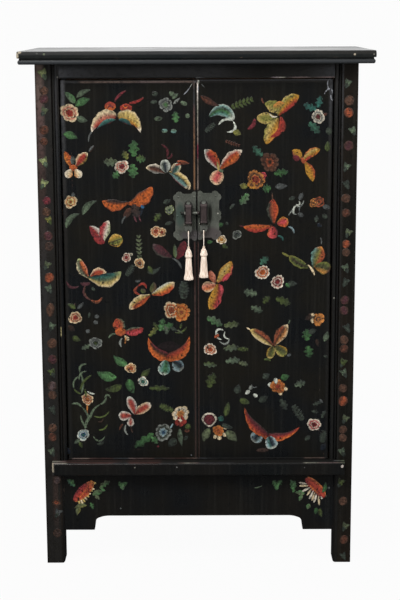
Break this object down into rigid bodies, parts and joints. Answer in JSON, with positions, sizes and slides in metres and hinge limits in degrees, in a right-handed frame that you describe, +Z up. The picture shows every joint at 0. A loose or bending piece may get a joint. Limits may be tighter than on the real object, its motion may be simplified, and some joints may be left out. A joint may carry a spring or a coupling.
{
  "type": "two-door lacquered cabinet",
  "caption": "Tall black-lacquer cabinet on integral legs, with pivoted doors, lobed brass lock plates, sliding lock pin, hinged pulls with tassels, and shelves inside.",
  "frame": {"origin": "on the floor under the middle of the top board", "axes": "+Z up, -Y out of the front with the doors, +X to the viewer's right"},
  "size_m": [1.106, 0.59, 1.68],
  "materials": {
    "black_lacquer": "worn black lacquer with painted flowers and butterflies",
    "inner_wood": "bare aged softwood",
    "dark_brass": "dark patinated brass",
    "cotton": "cream cotton thread"
  },
  "bodies": {
    "case": {"apron_front": "black_lacquer", "apron_left": "black_lacquer", "apron_right": "black_lacquer", "back_panel": "inner_wood", "bottom_board": "inner_wood", "door_stop": "inner_wood", "jamb_strip_left": "black_lacquer", "jamb_strip_right": "black_lacquer", "lower_rail_back": "black_lacquer", "lower_rail_front": "black_lacquer", "lower_rail_left": "black_lacquer", "lower_rail_right": "black_lacquer", "post_back_left": "black_lacquer", "post_back_right": "black_lacquer", "post_front_left": "black_lacquer", "post_front_right": "black_lacquer", "shelf_bearers": "inner_wood", "shelf_lower": "inner_wood", "shelf_upper": "inner_wood", "side_panel_left": "black_lacquer", "side_panel_right": "black_lacquer", "top_battens": "inner_wood", "top_frame_back": "black_lacquer", "top_frame_front": "black_lacquer", "top_frame_left": "black_lacquer", "top_frame_right": "black_lacquer", "top_panel": "black_lacquer", "upper_rail_back": "black_lacquer", "upper_rail_front": "black_lacquer", "upper_rail_left": "black_lacquer", "upper_rail_right": "black_lacquer"},
    "left_door": {"left_door_battens": "inner_wood", "left_door_bottom_rail": "black_lacquer", "left_door_face_plate": "dark_brass", "left_door_hinge_stile": "black_lacquer", "left_door_lock_hood": "dark_brass", "left_door_lock_stile": "black_lacquer", "left_door_panel": "black_lacquer", "left_door_plate_nails": "dark_brass", "left_door_pull_pin": "dark_brass", "left_door_top_rail": "black_lacquer"},
    "right_door": {"right_door_battens": "inner_wood", "right_door_bottom_rail": "black_lacquer", "right_door_face_plate": "dark_brass", "right_door_hinge_stile": "black_lacquer", "right_door_lock_hood": "dark_brass", "right_door_lock_stile": "black_lacquer", "right_door_panel": "black_lacquer", "right_door_plate_nails": "dark_brass", "right_door_pull_pin": "dark_brass", "right_door_top_rail": "black_lacquer"},
    "left_pull": {"left_pull": "dark_brass"},
    "right_pull": {"right_pull": "dark_brass"},
    "left_tassel": {"left_tassel": "cotton", "left_tassel_cord": "cotton"},
    "right_tassel": {"right_tassel": "cotton", "right_tassel_cord": "cotton"},
    "lock_pin": {"lock_pin": "dark_brass"}
  },
  "joints": [
    {"name": "left_door_hinge", "type": "hinge", "parent": "case", "child": "left_door", "pos_m": [-0.4154, -0.221, 0.3565], "axis": [0, 0, -1], "range_deg": [0, 95]},
    {"name": "right_door_hinge", "type": "hinge", "parent": "case", "child": "right_door", "pos_m": [0.4154, -0.221, 0.3565], "axis": [0, 0, 1], "range_deg": [0, 95]},
    {"name": "lock_pin_slide", "type": "slide", "parent": "left_door", "child": "lock_pin", "axis": [1, 0, 0], "range_m": [-0.03, 0.009]},
    {"name": "left_pull_swing", "type": "hinge", "parent": "left_door", "child": "left_pull", "pos_m": [-0.028, -0.247, 1.1357], "axis": [-1, 0, 0], "range_deg": [0, 85]},
    {"name": "left_tassel_hang", "type": "hinge", "parent": "left_pull", "child": "left_tassel", "pos_m": [-0.028, -0.247, 1.1101], "axis": [-1, 0, 0], "range_deg": [-85, 0]},
    {"name": "right_pull_swing", "type": "hinge", "parent": "right_door", "child": "right_pull", "pos_m": [0.0205, -0.247, 1.1381], "axis": [-1, 0, 0], "range_deg": [0, 85]},
    {"name": "right_tassel_hang", "type": "hinge", "parent": "right_pull", "child": "right_tassel", "pos_m": [0.0205, -0.247, 1.1125], "axis": [-1, 0, 0], "range_deg": [-85, 0]}
  ],
  "couplings": [
    {"joint": "left_tassel_hang", "follows": "left_pull_swing", "ratio": -1},
    {"joint": "right_tassel_hang", "follows": "right_pull_swing", "ratio": -1}
  ]
}
